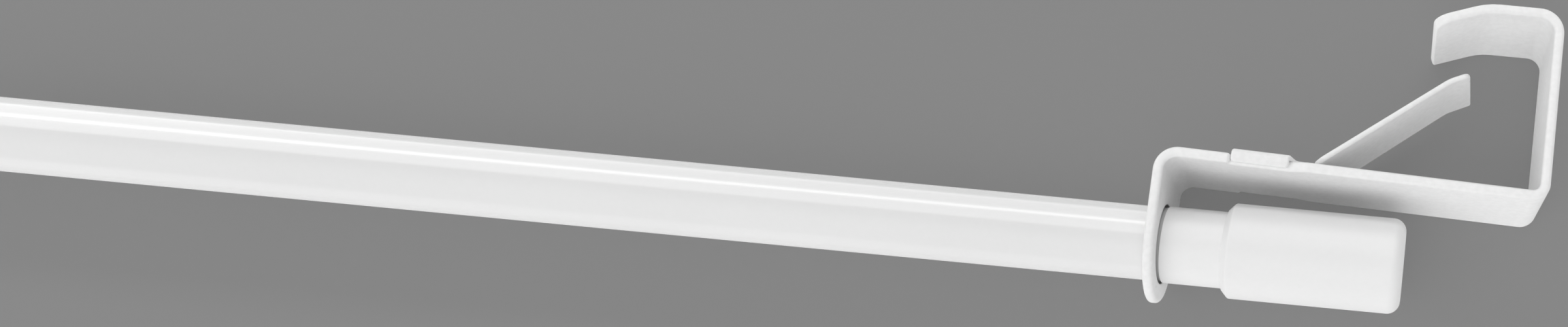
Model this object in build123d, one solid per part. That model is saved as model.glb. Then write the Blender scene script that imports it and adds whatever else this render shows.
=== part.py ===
from build123d import *
import math
import os

# A telescopic tension rod for a window curtain, with a spring hook at each end that clamps on the sash.
# X runs along the rod, Y from the rod towards the hooks' open side, Z across the width of the straps.
# The origin is on the rod's axis, midway between the two plates that the rod passes through.
# All sizes are in millimetres. Each end is drawn outwards from its plate, and the left one is mirrored.

# The two tubes
OUTER_DIAMETER = 16.0
INNER_DIAMETER = 13.0
TUBE_WALL = 0.8
PLATE_SPAN = 332.0          # between the rod faces of the two plates
OUTER_REACH = 262.0         # from the right plate back to the open mouth of the outer tube
TUBE_EDGE_BREAK = 0.2

END_STOP_GAP = 0.3          # between the guide plug and the bush that stops it, with the rod at full length

# The bent strap
STRAP_WIDTH = 25.4
STRAP_THICKNESS = 2.2
BEND_RADIUS = 2.8           # inside radius of the bends at the plate and at the return
HOOK_RADIUS = 1.6           # inside radius of the bend between the arm and the upright
PLATE_LEAN = 1.2            # degrees that the plate leans towards the rod
ARM_RISE = 16.55            # rod axis to the arm's near face, at the plate
ARM_FALL = 1.6              # degrees that the arm falls back towards the rod
HOOK_REACH = 80.35          # plate's rod face to the upright's inner face, at the rod's axis
UPRIGHT_LEAN = 1.8          # degrees that the upright leans outwards
RETURN_HEIGHT = 55.9        # rod axis to the inner face of the return
RETURN_FLAT = 16.1
RETURN_TIP = 12.2
TIP_DROOP = 20.5            # degrees that the tip of the return is bent inwards
DROOP_RADIUS = 14.0
TIP_CORNER = 3.0
STRAP_EDGE_BREAK = 0.5
PLATE_HOLE_CLEARANCE = 0.5  # all round the tube, so that the bracket turns freely

# The spring clip: a leaf whose saddle sits on the arm, with a tongue that rises into the hook
LEAF_THICKNESS = 1.2
SADDLE_START = 15.4
SADDLE_LENGTH = 12.4
NECK_LENGTH = 5.9
NECK_WIDTH = 16.0
TONGUE_ROOT_WIDTH = 22.8
TONGUE_TIP_WIDTH = 20.6
TONGUE_RISE = 38.8          # degrees from the rod's axis
TONGUE_REACH = 60.3         # plate's rod face to the bend near the tongue's tip
TONGUE_TIP = 5.4
TONGUE_TIP_RISE = 25.3      # degrees from the rod's axis
TIP_SKEW = 0.8              # how far each corner of the tongue's slanted end lies from its middle, along X
LEAF_BEND_RADIUS = 1.6      # inside radius
LEAF_TIP_RADIUS = 8.0
LEAF_CORNER = 1.6
SADDLE_SHOULDER = 1.3
SEAT_GAP = 0.05             # between the leaf and the strap
LIP_SIDE_GAP = 0.1          # between the ends of a lip and the notch that it sits in
NOTCH_SLANT = 3.6           # how far the notch's inner end runs out along the arm
LIP_CORNER = 0.9

# The end caps
CAP_SETBACK = 15.4          # plate's rod face to the rim of the cap
CAP_LENGTH = 38.4
CAP_WALL = 2.3
CAP_FLOOR = 2.2
CAP_RIM_CHAMFER = 1.4
CAP_RIM_WALL = 0.8
CAP_END_RADIUS = 2.8
CAP_END_STEPS = 4           # the rounded end is drawn as cones
CAP_BORE_CLEARANCE = 0.05
CAP_BORE_LEAD = 0.3
CAP_SEAT_GAP = 0.2

# The parts of the tension mechanism, inside the outer tube
PLUG_CLEARANCE = 0.05       # between a fixed plug and its tube, all round
SLIDE_CLEARANCE = 0.1       # between a sliding piece and its guide, all round
BUSH_DEPTH = 20.0
BUSH_FLANGE = 1.6
BUSH_FLANGE_OVERHANG = 0.7
BUSH_LEAD = 0.5
GUIDE_STEM = 16.0
GUIDE_HEAD = 14.0
STOP_LENGTH = 12.0
NOSE_LENGTH = 6.0
CORE_DIAMETER = 5.0
NOSE_LEAD = 0.5
SPRING_LENGTH = 110.0       # at rest, with the rod at full length
SPRING_COILS = 8
WIRE_DIAMETER = 1.2
WIRE_SIDES = 5              # the wire's section is drawn as a polygon
SPRING_BORE_CLEARANCE = 0.7  # between the coils and the outer tube
NOSE_CLEARANCE = 0.4         # between the coils and the noses that centre them
SPRING_END_GAP = 0.1


def meeting_point(start, angle, other, other_angle):
    """Where two straight lines cross, each given by a point and its direction in degrees."""
    a, b = math.radians(angle), math.radians(other_angle)
    across = math.cos(a) * math.sin(b) - math.sin(a) * math.cos(b)
    run = ((other[0] - start[0]) * math.sin(b) - (other[1] - start[1]) * math.cos(b)) / across
    return start[0] + run * math.cos(a), start[1] + run * math.sin(a)


def stepped(start, angle, run):
    """The point that lies a run away from the start, in a direction in degrees."""
    return start[0] + run * math.cos(math.radians(angle)), start[1] + run * math.sin(math.radians(angle))


def bent_strip(points, inside_radii, thickness):
    """The side face of a strip of even thickness, bent at each inner point of its middle line."""
    angles = [math.degrees(math.atan2(q[1] - p[1], q[0] - p[0])) for p, q in zip(points, points[1:])]
    turns = [math.copysign(1, math.sin(math.radians(b - a))) for a, b in zip(angles, angles[1:])]
    sides = []
    for side in (1, -1):
        shift = side * thickness / 2
        on_line = [stepped(p, a + 90, shift) for p, a in zip(points, angles)]
        corners = [on_line[0]]
        for i in range(1, len(angles)):
            corners.append(meeting_point(on_line[i - 1], angles[i - 1], on_line[i], angles[i]))
        corners.append(stepped(points[-1], angles[-1] + 90, shift))
        radii = [r + (0 if side == turn else thickness) for r, turn in zip(inside_radii, turns)]
        sides.append(FilletPolyline(*corners, radius=radii))
    ends = [Line(sides[0] @ t, sides[1] @ t) for t in (0, 1)]
    return make_face(Wire([*sides[0].edges(), *sides[1].edges(), *ends]))


def turned(outline):
    """A solid of revolution about the rod's axis, from (distance along the rod, radius) points."""
    return revolve(make_face(Polyline(*outline, close=True)), Axis.X)


def rod_cylinder(radius, start, end):
    """A round bar along the rod's axis."""
    return Pos((start + end) / 2, 0, 0) * Rot(0, 90, 0) * Cylinder(radius, end - start)


def mirrored(solid):
    """The same piece for the left end of the rod."""
    return mirror(solid, about=Plane.YZ)


def tube(diameter, start, end):
    """A straight tube along the rod, with its sharp edges broken."""
    outside, inside = diameter / 2, diameter / 2 - TUBE_WALL
    edge = TUBE_EDGE_BREAK
    return turned([
        (start, inside), (start, outside - edge), (start + edge, outside),
        (end - edge, outside), (end, outside - edge), (end, inside),
    ])


def arm_face(distance, height=0.0):
    """Height above the rod's axis on the arm's near face, a distance from the plate, plus a height."""
    return ARM_RISE - distance * math.tan(math.radians(ARM_FALL)) + height


def strap_middle_line():
    """The corners of the strap's middle line, from the lower end of its plate to the tip of its return."""
    half = STRAP_THICKNESS / 2
    arm = (0, arm_face(0, half))
    foot = (HOOK_REACH + half / math.cos(math.radians(UPRIGHT_LEAN)), 0)
    upright = 90 - UPRIGHT_LEAN
    top = (0, RETURN_HEIGHT + half)
    plate_end = (half, -STRAP_WIDTH / 2)
    plate_corner = meeting_point(plate_end, 90 + PLATE_LEAN, arm, -ARM_FALL)
    arm_corner = meeting_point(arm, -ARM_FALL, foot, upright)
    top_corner = meeting_point(foot, upright, top, 0)
    droop_corner = (top_corner[0] - RETURN_FLAT, top_corner[1])
    tip = stepped(droop_corner, 180 + TIP_DROOP, RETURN_TIP)
    return [plate_end, plate_corner, arm_corner, top_corner, droop_corner, tip]


def clip_notches():
    """The notches in both edges of the arm that hold the lips of the clip. One end of each runs out slowly."""
    edge, floor = STRAP_WIDTH / 2, STRAP_WIDTH / 2 - LEAF_THICKNESS - SEAT_GAP
    end, beyond = SADDLE_LENGTH / 2 + LIP_SIDE_GAP, STRAP_WIDTH
    middle = SADDLE_START + SADDLE_LENGTH / 2
    outline = [(-end, beyond), (-end, floor), (end, floor), (end + NOTCH_SLANT, edge), (end + NOTCH_SLANT, beyond)]
    notches = []
    for side in (1, -1):
        face = make_face(Polyline(*[(x, side * z) for x, z in outline], close=True))
        block = Rot(90, 0, 0) * extrude(face, amount=STRAP_WIDTH / 4, both=True)
        notches.append(Pos(middle, arm_face(middle, STRAP_THICKNESS / 2), 0) * Rot(0, 0, -ARM_FALL) * block)
    return notches


def strap(tube_diameter):
    """One strip of steel: a round-ended plate with a hole, an arm, an upright and a drooping return."""
    points = strap_middle_line()
    radii = [BEND_RADIUS, HOOK_RADIUS, BEND_RADIUS, DROOP_RADIUS]
    solid = extrude(bent_strip(points, radii, STRAP_THICKNESS), amount=STRAP_WIDTH / 2, both=True)
    beyond = 2 * STRAP_THICKNESS
    square_end = Pos(0, -STRAP_WIDTH / 2, 0) * Box(2 * beyond, STRAP_WIDTH, 2 * STRAP_WIDTH)
    solid -= square_end - rod_cylinder(STRAP_WIDTH / 2, -2 * beyond, 2 * beyond)
    tip = Vector(*points[-1])
    tip_edges = [e for e in solid.edges() if (e.center() - tip).length < STRAP_WIDTH
                 and abs(e.length - STRAP_THICKNESS) < 0.01 and abs(abs(e.center().Z) - STRAP_WIDTH / 2) < 0.01
                 and e.center().X < points[-2][0]]
    solid = fillet(tip_edges, TIP_CORNER)
    sides = [f for f in solid.faces().filter_by(Axis.Z) if abs(abs(f.center().Z) - STRAP_WIDTH / 2) < 0.01]
    solid = chamfer([e for f in sides for e in f.edges()], STRAP_EDGE_BREAK)
    solid -= rod_cylinder(tube_diameter / 2 + PLATE_HOLE_CLEARANCE, -beyond, beyond)
    for notch in clip_notches():
        solid -= notch
    return solid


def leaf_middle_line():
    """The corners of the leaf's middle line, from the start of its saddle to the tip of its tongue."""
    raise_by = STRAP_THICKNESS + SEAT_GAP + LEAF_THICKNESS / 2
    start = (SADDLE_START, arm_face(SADDLE_START, raise_by))
    root = stepped(start, -ARM_FALL, SADDLE_LENGTH + NECK_LENGTH)
    rise = math.tan(math.radians(TONGUE_RISE)) * (TONGUE_REACH - root[0])
    bend = (TONGUE_REACH, root[1] + rise)
    return [start, root, bend, stepped(bend, TONGUE_TIP_RISE, TONGUE_TIP + LEAF_THICKNESS + TIP_SKEW)]


def leaf_outline(points):
    """The leaf seen along Y: a wide saddle, a narrow neck and a tongue that tapers to its slanted tip."""
    start, root = points[0][0], points[1][0]
    tip = stepped(points[2], TONGUE_TIP_RISE, TONGUE_TIP)[0]
    saddle_end = start + SADDLE_LENGTH
    wide, neck = STRAP_WIDTH / 2, NECK_WIDTH / 2
    half = [
        (start, wide), (saddle_end, wide), (saddle_end + SADDLE_SHOULDER, neck), (root, neck),
        (root, TONGUE_ROOT_WIDTH / 2),
    ]
    tips = [(tip - TIP_SKEW, TONGUE_TIP_WIDTH / 2), (tip + TIP_SKEW, -TONGUE_TIP_WIDTH / 2)]
    face = make_face(Polyline(*half, *tips, *[(x, -z) for x, z in reversed(half)], close=True))
    tip_corners = [v for v in face.vertices() if v.X > tip - 2 * TIP_SKEW]
    shoulders = [v for v in face.vertices() if abs(v.X - saddle_end) < SADDLE_SHOULDER / 2]
    face = fillet(tip_corners + shoulders, LEAF_CORNER)
    tall = 2 * RETURN_HEIGHT
    return Rot(90, 0, 0) * extrude(face, amount=tall, both=True)


def clip_lips():
    """The two lips that are folded down over the edges of the arm."""
    drop = STRAP_THICKNESS + SEAT_GAP + LEAF_THICKNESS
    middle = SADDLE_START + SADDLE_LENGTH / 2
    height = arm_face(middle, drop / 2)
    lips = []
    for side in (1, -1):
        lip = fillet(Box(SADDLE_LENGTH, drop, LEAF_THICKNESS).edges().filter_by(Axis.Z).group_by(Axis.Y)[0],
                     LIP_CORNER)
        place = side * (STRAP_WIDTH - LEAF_THICKNESS) / 2
        lips.append(Pos(middle, height, place) * Rot(0, 0, -ARM_FALL) * lip)
    return lips


def spring_clip():
    """A leaf of spring steel: its saddle and lips grip the arm, and its tongue pushes on the sash."""
    points = leaf_middle_line()
    radii = [LEAF_BEND_RADIUS, LEAF_TIP_RADIUS]
    leaf = extrude(bent_strip(points, radii, LEAF_THICKNESS), amount=STRAP_WIDTH / 2, both=True)
    leaf &= leaf_outline(points)
    for lip in clip_lips():
        leaf += lip
    return leaf


def cap_floor():
    """Distance from the plate to the inside of the cap's closed end."""
    return CAP_SETBACK + CAP_LENGTH - CAP_FLOOR


def tube_end():
    """Distance from the plate to the end of the tube, inside the cap."""
    return cap_floor() - CAP_SEAT_GAP


def rounded_corner(x, y, radius, steps):
    """Points along a quarter circle that rounds an outer corner at the end of a turned piece."""
    angles = [math.pi / 2 * (1 - i / steps) for i in range(steps + 1)]
    return [(x - radius + radius * math.cos(a), y - radius + radius * math.sin(a)) for a in angles]


def end_cap(tube_diameter):
    """A moulded cup, pushed over the end of a tube, with a chamfered rim and a rounded end."""
    bore = tube_diameter / 2 + CAP_BORE_CLEARANCE
    outside = tube_diameter / 2 + CAP_WALL
    rim = tube_diameter / 2 + CAP_RIM_WALL
    start, end = CAP_SETBACK, CAP_SETBACK + CAP_LENGTH
    return turned([
        (start, bore + CAP_BORE_LEAD), (start, rim), (start + CAP_RIM_CHAMFER, outside),
        *rounded_corner(end, outside, CAP_END_RADIUS, CAP_END_STEPS), (end, 0),
        (cap_floor(), 0), (cap_floor(), bore), (start + CAP_BORE_LEAD, bore),
    ])


def bore_radius():
    """Inside radius of the outer tube."""
    return OUTER_DIAMETER / 2 - TUBE_WALL


def nose_radius():
    """Radius of the noses that centre the spring."""
    return bore_radius() - SPRING_BORE_CLEARANCE - WIRE_DIAMETER - NOSE_CLEARANCE


def mouth():
    """Where the outer tube ends, at its open mouth."""
    return PLATE_SPAN / 2 - OUTER_REACH


def inner_tube_end():
    """Where the inner tube ends inside the outer one: the spring pushes its guide plug against the bush."""
    return mouth() + BUSH_DEPTH + END_STOP_GAP


def spring_start():
    """Where the spring begins, at the shoulder of the guide plug."""
    return inner_tube_end() + GUIDE_HEAD


def mouth_bush():
    """A flanged ring in the mouth of the outer tube, in which the inner tube slides."""
    hole = INNER_DIAMETER / 2 + SLIDE_CLEARANCE
    spigot = bore_radius() - PLUG_CLEARANCE
    flange = OUTER_DIAMETER / 2 + BUSH_FLANGE_OVERHANG
    start, face, end = mouth() - BUSH_FLANGE, mouth(), mouth() + BUSH_DEPTH
    return turned([
        (start, hole + BUSH_LEAD), (start, flange - BUSH_LEAD), (start + BUSH_LEAD, flange), (face, flange),
        (face, spigot), (end, spigot), (end, hole), (start + BUSH_LEAD, hole),
    ])


def guide_plug():
    """A plug in the hidden end of the inner tube: its head slides in the outer tube and pushes the spring."""
    stem = INNER_DIAMETER / 2 - TUBE_WALL - PLUG_CLEARANCE
    head = bore_radius() - SLIDE_CLEARANCE
    back, face, end = inner_tube_end() - GUIDE_STEM, inner_tube_end(), spring_start()
    core, tip = CORE_DIAMETER / 2, end + NOSE_LENGTH
    return turned([
        (back, core), (back, stem), (face, stem), (face, head), (end, head), (end, nose_radius()),
        (tip - NOSE_LEAD, nose_radius()), (tip, nose_radius() - NOSE_LEAD), (tip, core),
    ])


def spring_stop():
    """A plug fixed in the outer tube, on which the spring pushes."""
    face = spring_start() + SPRING_LENGTH
    body = bore_radius() - PLUG_CLEARANCE
    core, tip = CORE_DIAMETER / 2, face - NOSE_LENGTH
    return turned([
        (tip, core), (tip, nose_radius() - NOSE_LEAD), (tip + NOSE_LEAD, nose_radius()), (face, nose_radius()),
        (face, body), (face + STOP_LENGTH, body), (face + STOP_LENGTH, core),
    ])


def tension_spring():
    """A round-wire compression spring between the guide plug and the stop."""
    radius = bore_radius() - SPRING_BORE_CLEARANCE - WIRE_DIAMETER / 2
    trim = WIRE_DIAMETER / 2 + SPRING_END_GAP
    height = SPRING_LENGTH - 2 * trim
    path = Helix(pitch=height / SPRING_COILS, height=height, radius=radius,
                 center=(spring_start() + trim, 0, 0), direction=(1, 0, 0))
    section = Plane(origin=path @ 0, z_dir=path % 0) * RegularPolygon(WIRE_DIAMETER / 2, WIRE_SIDES)
    return sweep(section, path=path, is_frenet=True)


def at_right(solid):
    """A piece of the right end, moved to its place from the plate's own frame."""
    return Pos(PLATE_SPAN / 2, 0, 0) * solid


def at_left(solid):
    """A piece of the left end, mirrored to its place."""
    return mirrored(at_right(solid))


rod_end = PLATE_SPAN / 2 + tube_end()
pieces = {
    "outer_tube": tube(OUTER_DIAMETER, mouth(), rod_end),
    "inner_tube": tube(INNER_DIAMETER, -rod_end, inner_tube_end()),
    "mouth_bush": mouth_bush(),
    "guide_plug": guide_plug(),
    "tension_spring": tension_spring(),
    "spring_stop": spring_stop(),
    "right_strap": at_right(strap(OUTER_DIAMETER)),
    "left_strap": at_left(strap(INNER_DIAMETER)),
    "right_spring_clip": at_right(spring_clip()),
    "left_spring_clip": at_left(spring_clip()),
    "right_end_cap": at_right(end_cap(OUTER_DIAMETER)),
    "left_end_cap": at_left(end_cap(INNER_DIAMETER)),
}

os.makedirs("parts", exist_ok=True)
for name, solid in pieces.items():
    export_step(solid, f"parts/{name}.step")
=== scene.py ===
import math

import bmesh
import bpy
from mathutils import Matrix, Vector


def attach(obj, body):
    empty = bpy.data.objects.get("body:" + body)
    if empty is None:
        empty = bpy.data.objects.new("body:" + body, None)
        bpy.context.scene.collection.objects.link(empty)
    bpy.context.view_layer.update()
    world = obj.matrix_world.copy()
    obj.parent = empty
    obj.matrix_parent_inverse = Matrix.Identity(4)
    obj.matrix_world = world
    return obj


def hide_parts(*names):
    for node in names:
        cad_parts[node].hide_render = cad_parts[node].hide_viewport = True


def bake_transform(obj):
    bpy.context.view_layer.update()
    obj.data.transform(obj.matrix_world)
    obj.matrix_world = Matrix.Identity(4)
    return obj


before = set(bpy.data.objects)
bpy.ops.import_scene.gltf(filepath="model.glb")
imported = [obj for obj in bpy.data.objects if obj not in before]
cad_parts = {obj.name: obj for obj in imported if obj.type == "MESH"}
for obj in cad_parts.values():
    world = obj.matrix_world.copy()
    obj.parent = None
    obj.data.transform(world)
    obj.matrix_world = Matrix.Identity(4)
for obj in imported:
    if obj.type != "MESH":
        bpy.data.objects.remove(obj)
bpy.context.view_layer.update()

# Outer tube: a thin steel strip, rolled and welded into a tube, then sprayed with white gloss enamel.
# The larger of the two tubes. It runs through the right plate and ends in the right cap.
MM = 0.001                  # sizes are in millimetres, the scene is in metres
WELD = 0.0001               # points closer than this become one
STRAIGHT = 89.9             # half the angle at a corner, in degrees, from which it needs no rounding
SHARP = 35                  # degrees between two faces, from which their edge stays sharp
TURNS = 96                  # facets round every turned piece
TUBE_WALL, TUBE_EDGE, BORE_EDGE = 0.8, 0.2, 0.05
OUTER_TUBE = {"start": -96.0, "end": 217.4, "radius": 8.0}
ENAMEL_WHITE = (0.795, 0.795, 0.795)
ENAMEL = {"grain": 620, "grain_depth": 0.00001, "drift": 0.015, "mottle": 0.008}
COAT_ROUGHNESS = 0.12
CLOUD, CLOUD_RANGE = 38, (0.3, 0.7)         # how fine the drift in shade is, and the values it spans
GLOSS_DRIFT = (0.85, 1.2)                   # least and most roughness, as shares of the finish's own
FLECKS, FLECK_RANGE = 850, (0.35, 0.65)     # the fine mottling
NIBS, NIB_RANGE, NIB_SHADE = 42, (0.010, 0.018), 0.8        # the few grey specks, and how large they are
PLATE_GAP_SHADE = {"middle": 0.16725, "reach": 0.0017, "shade": 0.6}      # metres, a ring of painted shade where the tube runs through a plate's hole


def rounded(corners, steps=4):
    """A closed outline with its corners rounded, from (along, across, corner radius) points."""
    points = []
    for i, (x, y, radius) in enumerate(corners):
        here = Vector((x, y))
        before = (Vector(corners[i - 1][:2]) - here).normalized()
        after = (Vector(corners[(i + 1) % len(corners)][:2]) - here).normalized()
        half = before.angle(after) / 2
        if radius <= 0 or half > math.radians(STRAIGHT):
            points.append((x, y))
            continue
        centre = here + (before + after).normalized() * (radius / math.sin(half))
        first = here + before * (radius / math.tan(half)) - centre
        last = here + after * (radius / math.tan(half)) - centre
        sweep = first.angle_signed(last)
        for k in range(steps + 1):
            turned = Matrix.Rotation(-sweep * k / steps, 2) @ first
            points.append(tuple(centre + turned))
    return points


def piece_from(name, bm, material):
    """A smooth-shaded object from a bmesh in millimetres, its flat faces kept flat."""
    bmesh.ops.remove_doubles(bm, verts=bm.verts, dist=WELD)
    bmesh.ops.recalc_face_normals(bm, faces=bm.faces)
    bmesh.ops.scale(bm, vec=(MM, MM, MM), verts=bm.verts)
    mesh = bpy.data.meshes.new(name)
    bm.to_mesh(mesh)
    bm.free()
    mesh.shade_smooth()
    mesh.set_sharp_from_angle(angle=math.radians(SHARP))
    piece = bpy.data.objects.new(name, mesh)
    bpy.context.scene.collection.objects.link(piece)
    mesh.materials.append(material)
    even = piece.modifiers.new("even_shading", "WEIGHTED_NORMAL")
    even.keep_sharp = True
    return piece


def turned_mesh(outline):
    """A bmesh of a body of revolution about the rod's axis, from a closed (along, radius) outline."""
    bm = bmesh.new()
    angles = [2 * math.pi * k / TURNS for k in range(TURNS)]
    rings = []
    for along, radius in outline:
        if radius < WELD:
            rings.append([bm.verts.new((along, 0, 0))] * TURNS)
            continue
        rings.append([bm.verts.new((along, radius * math.sin(a), radius * math.cos(a))) for a in angles])
    for i, ring in enumerate(rings):
        after = rings[(i + 1) % len(rings)]
        for k in range(TURNS):
            m = (k + 1) % TURNS
            corners = list(dict.fromkeys([ring[k], ring[m], after[m], after[k]]))
            if len(corners) > 2:
                bm.faces.new(corners)
    return bm


def added(material, kind, **values):
    """A new shader node in a finish, with values set on some of its inputs."""
    node = material.node_tree.nodes.new("ShaderNode" + kind)
    for name, value in values.items():
        node.inputs[name.replace("_", " ")].default_value = value
    return node


def noise(material, place, scale, detail):
    """A cloudy pattern, as a number that changes from place to place."""
    pattern = added(material, "TexNoise", Scale=scale, Detail=detail)
    material.node_tree.links.new(place, pattern.inputs["Vector"])
    return pattern.outputs["Fac"]


def spread(material, value, low, high, new_low=0.0, new_high=1.0):
    """A value stretched from one range to another, and held inside it."""
    fit = added(material, "MapRange", From_Min=low, From_Max=high, To_Min=new_low, To_Max=new_high)
    material.node_tree.links.new(value, fit.inputs["Value"])
    return fit.outputs["Result"]


def maths(material, operation, *terms):
    """The outcome of a sum in a finish. Each term is a number or the output of another node."""
    node = material.node_tree.nodes.new("ShaderNodeMath")
    node.operation = operation
    for socket, term in zip(node.inputs, terms):
        if isinstance(term, bpy.types.NodeSocket):
            material.node_tree.links.new(term, socket)
        else:
            socket.default_value = term
    return node.outputs["Value"]


def tinted(material, factor, shade):
    """Multiplies the colour of a finish by a shade where a factor says so."""
    nodes, links = material.node_tree.nodes, material.node_tree.links
    socket = nodes["Principled BSDF"].inputs["Base Color"]
    mix = nodes.new("ShaderNodeMix")
    mix.data_type = "RGBA"
    mix.blend_type = "MULTIPLY"
    mix.inputs["B"].default_value = (shade, shade, shade, 1)
    links.new(factor, mix.inputs["Factor"])
    links.new(socket.links[0].from_socket, mix.inputs["A"])
    links.new(mix.outputs["Result"], socket)


def paint(name, colour, roughness, coat, grain, grain_depth, drift, mottle=0.02, metallic=0.0):
    """A finish with fine orange peel, mottling, a few specks, and a slight drift in shade and gloss."""
    material = bpy.data.materials.new(name)
    material.use_nodes = True
    links = material.node_tree.links
    shader = material.node_tree.nodes["Principled BSDF"]
    shader.inputs["Metallic"].default_value = metallic
    shader.inputs["Coat Weight"].default_value = coat
    shader.inputs["Coat Roughness"].default_value = COAT_ROUGHNESS
    place = added(material, "TexCoord").outputs["Object"]
    cloud = noise(material, place, CLOUD, detail=4)
    shade = added(material, "ValToRGB")
    shade.color_ramp.elements[0].position = CLOUD_RANGE[0]
    shade.color_ramp.elements[1].position = CLOUD_RANGE[1]
    shade.color_ramp.elements[0].color = (*[c * (1 - drift) for c in colour], 1)
    shade.color_ramp.elements[1].color = (*colour, 1)
    links.new(cloud, shade.inputs["Fac"])
    links.new(shade.outputs["Color"], shader.inputs["Base Color"])
    gloss = spread(material, cloud, 0.0, 1.0, roughness * GLOSS_DRIFT[0], roughness * GLOSS_DRIFT[1])
    links.new(gloss, shader.inputs["Roughness"])
    bump = added(material, "Bump", Strength=1.0, Distance=grain_depth)
    links.new(noise(material, place, grain, detail=2), bump.inputs["Height"])
    links.new(bump.outputs["Normal"], shader.inputs["Normal"])
    flecks = noise(material, place, FLECKS, detail=3)
    tinted(material, spread(material, flecks, *FLECK_RANGE), 1 - mottle)
    nibs = added(material, "TexVoronoi", Scale=NIBS)
    links.new(place, nibs.inputs["Vector"])
    spots = spread(material, nibs.outputs["Distance"], *NIB_RANGE, new_low=1.0, new_high=0.0)
    tinted(material, spots, NIB_SHADE)
    return material


def place_along(material):
    """The place along the rod, in metres from its middle."""
    place = added(material, "TexCoord")
    split = added(material, "SeparateXYZ")
    material.node_tree.links.new(place.outputs["Object"], split.inputs["Vector"])
    return split.outputs["X"]


def painted_shade_ring(material, middle, reach, shade):
    """A ring of painted shade all round, at a distance to each side of the rod's middle: the dark gap round
    the tube in a plate's hole.
    """
    distance = maths(material, "ABSOLUTE", place_along(material))
    tinted(material, maths(material, "COMPARE", distance, middle, reach), shade)


def tube_outline(start, end, radius):
    """The section of a tube's wall, with its sharp edges broken."""
    bore = radius - TUBE_WALL
    return rounded([
        (start, bore, BORE_EDGE), (start, radius, TUBE_EDGE),
        (end, radius, TUBE_EDGE), (end, bore, BORE_EDGE),
    ])


enamel = paint("gloss_enamel", ENAMEL_WHITE, roughness=0.24, coat=1.0, **ENAMEL)
# painted shadow line where the tube runs through the plate's hole
painted_shade_ring(enamel, **PLATE_GAP_SHADE)
outer_tube = piece_from("outer_tube_painted", turned_mesh(tube_outline(**OUTER_TUBE)), enamel)
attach(outer_tube, "rod")
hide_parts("outer_tube")

# Inner tube: the same rolled and enamelled steel, thinner, so that it slides in the outer one.
# It runs through the left plate and ends in the left cap. Sliding in the bush has dulled its paint.
INNER_TUBE = {"start": -217.4, "end": -75.7, "radius": 6.5}
SLIDE_RUB = {"start": -0.158, "end": -0.09, "shade": 0.88}      # metres, the stretch that the bush rubs
SLIDE_LINES, SLIDE_RANGE = (14, 900, 900), (0.58, 0.70)         # long, fine and few


def slide_marks(material, start, end, shade):
    """Fine lengthwise rub marks in the paint of a tube, between two places along the rod."""
    stretch = added(material, "Mapping", Scale=SLIDE_LINES)
    place = added(material, "TexCoord")
    material.node_tree.links.new(place.outputs["Object"], stretch.inputs["Vector"])
    lines = noise(material, stretch.outputs["Vector"], scale=1, detail=2)
    chosen = spread(material, lines, *SLIDE_RANGE)
    within = maths(material, "COMPARE", place_along(material), (start + end) / 2, (end - start) / 2)
    tinted(material, maths(material, "MULTIPLY", chosen, within), shade)


slid_enamel = paint("slid_enamel", ENAMEL_WHITE, roughness=0.28, coat=0.8, **ENAMEL)
# painted shadow line where the tube runs through the plate's hole
painted_shade_ring(slid_enamel, **PLATE_GAP_SHADE)
slide_marks(slid_enamel, **SLIDE_RUB)
inner_tube = piece_from("inner_tube_painted", turned_mesh(tube_outline(**INNER_TUBE)), slid_enamel)
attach(inner_tube, "inner_rod")
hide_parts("inner_tube")

# Mouth bush, guide plug and spring stop: plain round forms of moulded plastic.
# The bush is pressed into the open end of the outer tube, the plugs sit inside, out of sight.
MOULDED = {"coat": 0.0, "grain": 900, "grain_depth": 0.000006, "drift": 0.03}
bush_plastic = paint("bush_plastic", (0.74, 0.74, 0.735), roughness=0.42, **MOULDED)
plug_plastic = paint("plug_plastic", (0.55, 0.55, 0.54), roughness=0.5, **MOULDED)
plastics = {"mouth_bush": bush_plastic, "guide_plug": plug_plastic, "spring_stop": plug_plastic}
for node, plastic in plastics.items():
    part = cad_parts[node]
    part.data.materials.clear()
    part.data.materials.append(plastic)

# Tension spring: round music wire, wound as an open coil between the two plugs.
# It is squeezed when the rod is shortened.
SPRING = {"start": -61.7, "length": 110.0, "coils": 8, "radius": 5.9, "wire": 0.6}
SPRING_GAP = 0.1            # from each end of the coil to its plug


def coil_mesh(start, length, coils, radius, wire, around=12, per_turn=48):
    """A bmesh of a wire wound along the rod's axis."""
    bm = bmesh.new()
    trim = wire + SPRING_GAP
    pitch = (length - 2 * trim) / coils
    angles = [2 * math.pi * k / around for k in range(around)]
    rings = []
    for i in range(coils * per_turn + 1):
        turn = 2 * math.pi * i / per_turn
        place = start + trim + pitch * i / per_turn
        centre = Vector((place, radius * math.cos(turn), radius * math.sin(turn)))
        outward = Vector((0, math.cos(turn), math.sin(turn)))
        along = Vector((pitch / (2 * math.pi), -radius * math.sin(turn), radius * math.cos(turn)))
        up = along.normalized().cross(outward)
        ring = [centre + wire * (outward * math.cos(a) + up * math.sin(a)) for a in angles]
        rings.append([bm.verts.new(point) for point in ring])
    for ring, after in zip(rings, rings[1:]):
        for k in range(around):
            m = (k + 1) % around
            bm.faces.new((ring[k], ring[m], after[m], after[k]))
    bm.faces.new(rings[0])
    bm.faces.new(rings[-1])
    return bm


wire_steel = paint("spring_wire", (0.42, 0.42, 0.43), roughness=0.3, coat=0.0, grain=2400,
                   grain_depth=0.000004, drift=0.1, metallic=1.0)
spring = piece_from("tension_spring_wire", coil_mesh(**SPRING), wire_steel)
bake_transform(spring)
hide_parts("tension_spring")

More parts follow.
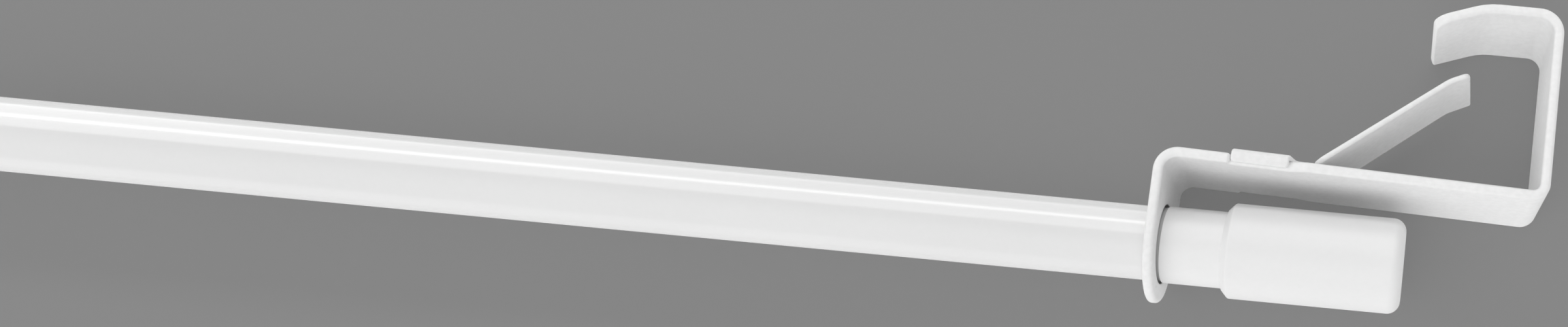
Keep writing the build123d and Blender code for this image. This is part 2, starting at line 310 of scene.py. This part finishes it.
# Straps: flat steel strip, blanked with a round end and a hole, bent four times and powder coated white.
# One at each end. The tube passes through its plate, and its arm, upright and return form the hook.
STRAP_WIDTH, STRAP_THICKNESS, STRAP_EDGE, HOLE_EDGE = 25.4, 2.2, 0.8, 0.35
BEND_RADII = [2.8, 1.6, 3.3, 14.0]          # inside, from the plate to the return's tip
BEND_STEP = 7.5                             # degrees between two cuts across a bend
ALONG, ACROSS = (1, 0, 0), (0, 1, 0)        # directions on a blank
PLATE = 166.0               # from the middle of the rod to each plate's rod face
ARM_RISE, ARM_FALL, PLATE_LEAN = 16.55, 1.6, 1.2    # rod's axis to the arm's face at the plate, and slopes
HOOK_REACH, UPRIGHT_LEAN = 80.35, 1.8       # plate's rod face to the upright's inner face, and its slope
RETURN_HEIGHT, RETURN_FLAT, RETURN_TIP, TIP_DROOP = 55.9, 16.1, 12.2, 20.5     # the droop in degrees
TIP_NEAR, TIP_FAR = 3.6, 0.95               # corner radii of the sheared tip
TIP_SLANT = 0.5                             # how far the tip's far corner is cut back
TIP_EDGE, TIP_LEAD = 0.35, 0.1              # the tip's edge as a share, and its start before the corner
NOTCH_START, NOTCH_LENGTH, NOTCH_DEPTH, NOTCH_SLANT = 15.3, 12.6, 1.25, 3.6
NOTCH_CORNERS = (0.82, 0.3, 1.0, 2.0)       # radii, from the plate's side to the hook's
HOLE_CLEARANCE = 0.5
PLATE_POINTS, HOLE_POINTS = 48, 72          # round the plate's end and round its hole
WALL_DEPTH, WALL_REACH = 4.0, 0.1           # the hole's wall lies within these of the plate and the hole
ENDS = ((1, "right", OUTER_TUBE["radius"]), (-1, "left", INNER_TUBE["radius"]))


def stepped(start, angle, run):
    """The point that lies a run away from the start, in a direction in degrees."""
    return Vector(start) + run * Vector((math.cos(math.radians(angle)), math.sin(math.radians(angle))))


def crossing(start, angle, other, other_angle):
    """Where two straight lines cross, each given by a point and its direction in degrees."""
    ahead, over = stepped((0, 0), angle, 1), stepped((0, 0), other_angle, 1)
    gap = Vector(other) - Vector(start)
    return Vector(start) + ahead * (gap.cross(over) / ahead.cross(over))


def arm_face(distance, height):
    """Height above the rod's axis of the arm's near face, a distance from the plate, plus a height."""
    return ARM_RISE - distance * math.tan(math.radians(ARM_FALL)) + height


def strap_corners():
    """The corners of the strap's middle line, from the lower end of its plate to the tip of its return."""
    half = STRAP_THICKNESS / 2
    foot = (HOOK_REACH + half / math.cos(math.radians(UPRIGHT_LEAN)), 0)
    arm_end = crossing((0, arm_face(0, half)), -ARM_FALL, foot, 90 - UPRIGHT_LEAN)
    top = crossing(foot, 90 - UPRIGHT_LEAN, (0, RETURN_HEIGHT + half), 0)
    droop = top - Vector((RETURN_FLAT, 0))
    plate_end = (half, -STRAP_WIDTH / 2)
    plate_corner = crossing(plate_end, 90 + PLATE_LEAN, (0, arm_face(0, half)), -ARM_FALL)
    return [plate_end, plate_corner, arm_end, top, droop, stepped(droop, 180 + TIP_DROOP, RETURN_TIP)]


def bent_line(corners, radii, thickness):
    """A strip's middle line as runs and arcs: (length so far, point, angle, length, turn) for each."""
    line, done = [], 0.0
    points = [Vector(c) for c in corners]
    start = points[0]
    for i in range(1, len(points)):
        run = (points[i] - points[i - 1]).normalized()
        angle = math.atan2(run.y, run.x)
        if i == len(points) - 1:
            line.append((done, start, angle, (points[i] - start).length, 0.0))
            break
        after = (points[i + 1] - points[i]).normalized()
        turn = -run.angle_signed(after)
        radius = radii[i - 1] + thickness / 2
        trim = radius * math.tan(abs(turn) / 2)
        length = (points[i] - start).length - trim
        line.append((done, start, angle, length, 0.0))
        done += length
        line.append((done, points[i] - run * trim, angle, radius * abs(turn), turn))
        done += radius * abs(turn)
        start = points[i] + after * trim
    return line


def line_length(line):
    """The whole length of a bent line, which is the length of the blank."""
    return line[-1][0] + line[-1][3]


def along_line(line, s):
    """The point and the direction of a bent line, a length along it."""
    passed = [part for part in line if part[0] <= s] or line[:1]
    begin, point, angle, length, turn = passed[-1]
    gone = s - begin
    if turn == 0.0:
        return point + gone * Vector((math.cos(angle), math.sin(angle))), angle
    radius, swept = length / abs(turn), turn * gone / length
    side = math.copysign(1, turn)
    centre = point + side * radius * Vector((-math.sin(angle), math.cos(angle)))
    new = angle + swept
    return centre - side * radius * Vector((-math.sin(new), math.cos(new))), new


def inset(loop, distance):
    """A closed outline moved inwards, to the left of its direction, by a distance."""
    moved = []
    for i, here in enumerate(loop):
        here = Vector(here)
        ahead = (Vector(loop[(i + 1) % len(loop)]) - here).normalized()
        behind = (here - Vector(loop[i - 1])).normalized()
        left_a, left_b = Vector((-ahead.y, ahead.x)), Vector((-behind.y, behind.x))
        moved.append(here + distance * (left_a + left_b) / (1 + left_a.dot(left_b)))
    return moved


def blank_mesh(loops, thickness, sheared=math.inf, share=1.0, steps=4):
    """A bmesh of a flat blank of sheet metal with softly rounded edges, from (outline, edge radius) loops.

    Beyond the place sheared, the rounding of the cut end is narrower, by the share.
    """
    bm = bmesh.new()
    ends = ([], [])
    for loop, edge in loops:
        levels = []
        for k in range(steps + 1):
            a = math.radians(90 * k / steps)
            levels.append((-thickness / 2 + edge * (1 - math.cos(a)), edge * (1 - math.sin(a))))
        levels += [(-height, gap) for height, gap in reversed(levels)]
        rings = []
        for height, gap in levels:
            moved = inset(loop, gap)
            for p, (x, _) in zip(moved, loop):
                p.x = x + (p.x - x) * (share if x > sheared else 1.0)
            rings.append([bm.verts.new((p.x, p.y, height)) for p in moved])
        for ring, after in zip(rings, rings[1:]):
            for k in range(len(ring)):
                m = (k + 1) % len(ring)
                bm.faces.new((ring[k], ring[m], after[m], after[k]))
        for ring, kept in zip((rings[0], rings[-1]), ends):
            kept += [bm.edges.get((ring[k], ring[(k + 1) % len(ring)])) for k in range(len(ring))]
    for kept in ends:
        bmesh.ops.triangle_fill(bm, edges=kept, use_beauty=True)
    return bm


def cut_faces(bm, direction, places):
    """Cuts the faces of a blank at these places along a direction, so that it can bend there."""
    for place in places:
        at = place * Vector(direction)
        geometry = bm.verts[:] + bm.edges[:] + bm.faces[:]
        bmesh.ops.bisect_plane(bm, geom=geometry, plane_co=at, plane_no=direction, dist=WELD)


def bend_places(line):
    """Where a blank is cut so that each arc of its line bends in steps of a few degrees."""
    places = []
    for begin, _, _, length, turn in line:
        if turn:
            count = max(2, round(abs(math.degrees(turn)) / BEND_STEP))
            places += [begin + length * k / count for k in range(count + 1)]
    return places


def bend_blank(bm, line):
    """Bends a blank along its line: its length follows the line, its width lies along Z."""
    for v in bm.verts:
        point, angle = along_line(line, v.co.x)
        point = point + v.co.z * Vector((-math.sin(angle), math.cos(angle)))
        v.co = (point.x, point.y, v.co.y)


def circle(x, y, radius, count, start=0.0, turn=360.0):
    """Points of an arc, in degrees, anticlockwise where the turn is positive."""
    angles = [math.radians(start + turn * k / count) for k in range(count)]
    return [(x + radius * math.cos(a), y + radius * math.sin(a)) for a in angles]


def strap_mesh(tube_radius):
    """One strap, from its blank."""
    line = bent_line(strap_corners(), BEND_RADII, STRAP_THICKNESS)
    end = line_length(line)
    arm_start, arm_point = line[2][:2]
    first = arm_start + (NOTCH_START - arm_point.x) / math.cos(math.radians(ARM_FALL))
    last = first + NOTCH_LENGTH
    half = STRAP_WIDTH / 2
    deep = half - NOTCH_DEPTH
    notch = [(first, -half), (first, -deep), (last, -deep), (last + NOTCH_SLANT, -half)]
    lower = [(half, -half, 0)]
    lower += [(x, y, radius) for (x, y), radius in zip(notch, NOTCH_CORNERS)]
    lower.append((end - TIP_SLANT, -half, TIP_FAR))
    upper = [(x, -y, radius) for x, y, radius in reversed(lower)]
    upper[0] = (end, half, TIP_NEAR)
    plate_end = circle(half, 0, half, PLATE_POINTS, start=90, turn=180)
    hole = circle(half, 0, tube_radius + HOLE_CLEARANCE, HOLE_POINTS)
    loops = [(rounded(lower + upper, steps=6) + plate_end[1:], STRAP_EDGE), (hole[::-1], HOLE_EDGE)]
    bm = blank_mesh(loops, STRAP_THICKNESS, sheared=end - TIP_NEAR - TIP_LEAD, share=TIP_EDGE)
    cut_faces(bm, ALONG, bend_places(line))
    bend_blank(bm, line)
    return bm


def at_end(bm, side):
    """Moves a piece from its plate's own frame to the right end, or mirrored to the left one."""
    for v in bm.verts:
        v.co = (side * (v.co.x + PLATE), v.co.y, v.co.z)
    if side < 0:
        bmesh.ops.reverse_faces(bm, faces=bm.faces)
    return bm


def in_hole(face, tube_radius):
    """Whether a face of a strap belongs to the wall of the hole in its plate."""
    middle = face.center / MM
    radius = tube_radius + HOLE_CLEARANCE + WALL_REACH
    return abs(middle.x) < PLATE + WALL_DEPTH and math.hypot(middle.y, middle.z) < radius


powder_coat = paint("strap_powder_coat", (0.88, 0.88, 0.88), roughness=0.42, coat=0.0, grain=620,
                    grain_depth=0.00005, drift=0.02, mottle=0.045)
# A dark grey, steel-like finish for the hole's wall, partly painted shade for the gap round the tube.
hole_shade_and_steel = paint("hole_shade_and_bare_steel", (0.46, 0.455, 0.45), roughness=0.45, coat=0.0, grain=1500,
                   grain_depth=0.00002, drift=0.3, mottle=0.1, metallic=0.5)
for side, end, tube_radius in ENDS:
    strap = piece_from(f"{end}_strap_coated", at_end(strap_mesh(tube_radius), side), powder_coat)
    strap.data.materials.append(hole_shade_and_steel)             # the hole's wall is painted dark: shade in the narrow gap round the tube, and bare steel where the coating is rubbed off
    for face in strap.data.polygons:
        if in_hole(face, tube_radius):
            face.material_index = 1
    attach(strap, f"{end}_bracket")
    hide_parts(f"{end}_strap")

# Spring clips: a leaf of spring steel with the same coating. Its saddle is folded over both edges of the
# arm and sits in their notches. Its tongue rises into the hook and bends down when a sash is pushed in.
LEAF_THICKNESS, LEAF_EDGE = 1.2, 0.5
SADDLE_START, SADDLE_LENGTH, SHOULDER, NECK_LENGTH, NECK_HALF = 15.4, 12.4, 1.3, 5.9, 8.0
TONGUE_RISE, TONGUE_REACH, TONGUE_TIP, TONGUE_TIP_RISE = 38.8, 60.3, 5.4, 25.3      # the rises in degrees
TONGUE_ROOT_HALF, TONGUE_TIP_HALF, TIP_SKEW = 11.4, 10.3, 0.9
LIP_CORNER, SADDLE_CORNER, SHOULDER_CORNER = 0.9, 0.5, 1.0      # radii
NECK_CORNER, ROOT_CORNER, TIP_CORNERS = 0.6, 2.4, (0.55, 1.6)
LEAF_RADII = [1.6, 8.0]                 # inside
SEAT_GAP = 0.05                         # between the leaf and the strap
FOLD_RADIUS, FOLD_STEPS = 0.25, 6       # inside
SADDLE_REACH = 1.0                      # how far the saddle's end runs out past the start of the fold
LIP_SHORT = 0.35                        # how far the lips stay back from the arm's other face


def leaf_corners():
    """The corners of the leaf's middle line, from the start of its saddle to the tip of its tongue."""
    height = STRAP_THICKNESS + SEAT_GAP + LEAF_THICKNESS / 2
    start = Vector((SADDLE_START, arm_face(SADDLE_START, height)))
    root = stepped(start, -ARM_FALL, SADDLE_LENGTH + NECK_LENGTH)
    bend = crossing(root, TONGUE_RISE, (TONGUE_REACH, 0), 90)
    return [start, root, bend, stepped(bend, TONGUE_TIP_RISE, TONGUE_TIP)]


def fold_width(bm, start, radius):
    """Folds the two long edges of a saddle down: width past the start goes round the fold."""
    for v in bm.verts:
        over = abs(v.co.y) - start
        if over <= 0:
            continue
        side = math.copysign(1, v.co.y)
        angle = min(over / radius, math.pi / 2)
        beyond = max(0.0, over - radius * math.pi / 2)
        reach = radius + v.co.z
        across = start + reach * math.sin(angle)
        height = -radius + reach * math.cos(angle) - beyond
        v.co = (v.co.x, side * across, height)


def leaf_mesh():
    """One spring clip, from its blank."""
    line = bent_line(leaf_corners(), LEAF_RADII, LEAF_THICKNESS)
    end = line_length(line)
    root = line[1][0]
    mid_radius = FOLD_RADIUS + LEAF_THICKNESS / 2
    quarter_turn = mid_radius * math.pi / 2
    fold = STRAP_WIDTH / 2 - LEAF_THICKNESS - FOLD_RADIUS
    lip = STRAP_THICKNESS + SEAT_GAP + LEAF_THICKNESS / 2 - mid_radius - LIP_SHORT
    wide = fold + quarter_turn + lip
    saddle = [
        (0, wide, LIP_CORNER), (SADDLE_LENGTH, wide, LIP_CORNER),
        (SADDLE_LENGTH, fold + SADDLE_REACH, SADDLE_CORNER),
        (SADDLE_LENGTH + SHOULDER, NECK_HALF, SHOULDER_CORNER),
        (root, NECK_HALF, NECK_CORNER), (root, TONGUE_ROOT_HALF, ROOT_CORNER),
    ]
    lower = [(x, -y, radius) for x, y, radius in saddle]
    lower.append((end + TIP_SKEW, -TONGUE_TIP_HALF, TIP_CORNERS[0]))
    upper = saddle + [(end - TIP_SKEW, TONGUE_TIP_HALF, TIP_CORNERS[1])]
    outline = rounded(lower + upper[::-1], steps=5)
    bm = blank_mesh([(outline, LEAF_EDGE)], LEAF_THICKNESS)
    cut_faces(bm, ALONG, bend_places(line))
    creases = [fold + quarter_turn * k / FOLD_STEPS for k in range(FOLD_STEPS + 1)]
    cut_faces(bm, ACROSS, creases + [-crease for crease in creases])
    fold_width(bm, fold, mid_radius)
    bend_blank(bm, line)
    return bm


leaf_coat = paint("clip_powder_coat", (0.87, 0.87, 0.87), roughness=0.40, coat=0.0, grain=680,
                  grain_depth=0.00005, drift=0.02, mottle=0.05)
for side, end, _ in ENDS:
    leaf = piece_from(f"{end}_spring_leaf", at_end(leaf_mesh(), side), leaf_coat)
    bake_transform(leaf)
    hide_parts(f"{end}_spring_clip")

# End caps: white polyethylene cups with a chamfered rim and a rounded end, pushed over the tubes' ends.
# A thin skirt runs on from the rim, close over the tube, and ends just before the plate.
CAP_START, CAP_LENGTH, CAP_WALL, CAP_FLOOR = 15.4, 38.4, 2.3, 2.2
CAP_CLEARANCE, SKIRT_WALL, SKIRT_START = 0.05, 0.22, 2.45
RIM_CHAMFER, RIM_WALL = 1.4, 0.8
SKIRT_EDGE, RIM_EDGE, CHAMFER_EDGE, END_RADIUS, FLOOR_CORNER = 0.12, 0.2, 0.8, 2.8, 0.3     # radii
GATE_RADIUS, GATE_DEPTH, GATE_SLOPE, GATE_EDGE = 2.2, 0.3, 0.4, 0.2     # the dimple left by the mould's gate


def cap_mesh(tube_radius):
    """One cap, turned about the rod's axis."""
    bore, outside = tube_radius + CAP_CLEARANCE, tube_radius + CAP_WALL
    skirt, end = bore + SKIRT_WALL, CAP_START + CAP_LENGTH
    outline = rounded([
        (SKIRT_START, bore, 0), (SKIRT_START, skirt, SKIRT_EDGE), (CAP_START, skirt, SKIRT_EDGE),
        (CAP_START, tube_radius + RIM_WALL, RIM_EDGE), (CAP_START + RIM_CHAMFER, outside, CHAMFER_EDGE),
        (end, outside, END_RADIUS), (end, GATE_RADIUS, GATE_EDGE),
        (end - GATE_DEPTH, GATE_RADIUS - GATE_SLOPE, GATE_EDGE), (end - GATE_DEPTH, 0, 0),
        (end - CAP_FLOOR, 0, 0), (end - CAP_FLOOR, bore, FLOOR_CORNER),
    ], steps=8)
    return turned_mesh(outline)


cap_plastic = paint("cap_polyethylene", (0.84, 0.84, 0.84), roughness=0.38, coat=0.0, grain=700,
                    grain_depth=0.000012, drift=0.02, mottle=0.01)
for side, end, tube_radius in ENDS:
    cap = piece_from(f"{end}_cap_moulded", at_end(cap_mesh(tube_radius), side), cap_plastic)
    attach(cap, f"{end}_cap")
    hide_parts(f"{end}_end_cap")

# Studio: a plain floor of paper, on which the rod lies with the lower edges of its straps, and soft lamps.
# The paper is white for the light that it throws on the rod, and mid grey where it is seen.
FLOOR_HEIGHT, FLOOR_RADIUS, FLOOR_STEP = -12.75, 9000.0, 5
PAPER_WHITE = (0.88, 0.88, 0.88, 1)
PAPER_SEEN = (0.12, 0.12, 0.12, 1)      # with the glow it makes the mid grey
PAPER_GLOW = 0.13                       # only where it is seen, so that the shadows stay pale
PAPER_ROUGHNESS, PAPER_SHINE = 0.9, 0.1
ROOM_LIGHT = 0.56                       # from all round
floor_mesh = bmesh.new()
rim = []
for degrees in range(0, 360, FLOOR_STEP):
    a = math.radians(degrees)
    rim.append(floor_mesh.verts.new((FLOOR_RADIUS * math.cos(a), FLOOR_RADIUS * math.sin(a), FLOOR_HEIGHT)))
floor_mesh.faces.new(rim)
paper = bpy.data.materials.new("floor_paper")
paper.use_nodes = True
paper_links = paper.node_tree.links
paper_shader = paper.node_tree.nodes["Principled BSDF"]
paper_shader.inputs["Roughness"].default_value = PAPER_ROUGHNESS
paper_shader.inputs["Specular IOR Level"].default_value = PAPER_SHINE
paper_shader.inputs["Emission Color"].default_value = (1, 1, 1, 1)
seen = added(paper, "LightPath").outputs["Is Camera Ray"]
tone = added(paper, "Mix")
tone.data_type = "RGBA"
tone.inputs["A"].default_value = PAPER_WHITE
tone.inputs["B"].default_value = PAPER_SEEN
paper_links.new(seen, tone.inputs["Factor"])
paper_links.new(tone.outputs["Result"], paper_shader.inputs["Base Color"])
paper_links.new(maths(paper, "MULTIPLY", seen, PAPER_GLOW), paper_shader.inputs["Emission Strength"])
floor = piece_from("floor", floor_mesh, paper)

room = bpy.data.worlds.new("studio")
bpy.context.scene.world = room
room.use_nodes = True
room.node_tree.nodes["Background"].inputs["Color"].default_value = (1, 1, 1, 1)
room.node_tree.nodes["Background"].inputs["Strength"].default_value = ROOM_LIGHT


def lamp(name, place, target, size, power, glossy=True, diffuse=True):
    """A soft rectangular lamp that faces a point. It lights the surfaces, is mirrored in them, or both."""
    data = bpy.data.lights.new(name, "AREA")
    data.shape = "RECTANGLE"
    data.size, data.size_y = size
    data.energy = power
    light = bpy.data.objects.new(name, data)
    light.location = place
    light.rotation_mode = "QUATERNION"
    light.rotation_quaternion = (Vector(target) - Vector(place)).to_track_quat("-Z", "Y")
    light.visible_camera = False
    light.visible_glossy = glossy
    light.visible_diffuse = diffuse
    bpy.context.scene.collection.objects.link(light)


# The key is a long strip above and behind the rod, which gives the tube its bright line. The card in the
# same place and the sheet by the floor are only mirrored in the gloss. The fill, in front, is not mirrored.
# Places and sizes are in metres, powers in watts.
lamp("key", place=(-0.8, 1.45, 1.16), target=(-0.8, 0, 0), size=(5.0, 0.30), power=12)
lamp("card", place=(-0.8, 1.42, 1.05), target=(-0.8, 0, 0), size=(5.0, 2.8), power=58, diffuse=False)
lamp("sheet", place=(-0.8, 0.62, -0.010), target=(-0.8, 0.63, 1.0), size=(5.0, 1.1), power=24, diffuse=False)
lamp("fill", place=(-0.7, -2.15, 2.0), target=(0.1, 0, 0), size=(5.0, 3.4), power=65, glossy=False)

# Camera: it looks down at the right end from the photograph's angle. The picture plane is nearly parallel
# to the rod, so that the tube is equally wide all over the picture, and the lens is shifted along it.
PHOTO_WIDTH, SENSOR_WIDTH = 2400, 36.0
FOCAL, OPTICAL_AXIS = 1824.0, 2140.0        # in the photograph's pixels
CAMERA_PLACE = (0.2177, -0.0531, 0.2530)    # metres
PITCH, ROLL, YAW = math.radians(16.77), math.radians(5.40), math.radians(0.24)


def swung(first, second, angle):
    """Two directions at right angles, turned in their own plane, the first towards the second."""
    along, aside = math.cos(angle), math.sin(angle)
    return along * first + aside * second, along * second - aside * first


optics = bpy.data.cameras.new("camera")
optics.sensor_width = SENSOR_WIDTH
optics.lens = FOCAL * SENSOR_WIDTH / PHOTO_WIDTH
optics.shift_x = (PHOTO_WIDTH / 2 - OPTICAL_AXIS) / PHOTO_WIDTH
right, down, ahead = Vector((1, 0, 0)), Vector((0, -1, 0)), Vector((0, 0, -1))
down, ahead = swung(down, ahead, PITCH)
right, ahead = swung(right, ahead, YAW)
down, right = swung(down, right, ROLL)
camera = bpy.data.objects.new("camera", optics)
facing = Matrix((right, -down, -ahead)).transposed().to_4x4()
camera.matrix_world = Matrix.Translation(CAMERA_PLACE) @ facing
bpy.context.scene.collection.objects.link(camera)
bpy.context.scene.camera = camera
bpy.context.scene.view_settings.view_transform = "Standard"
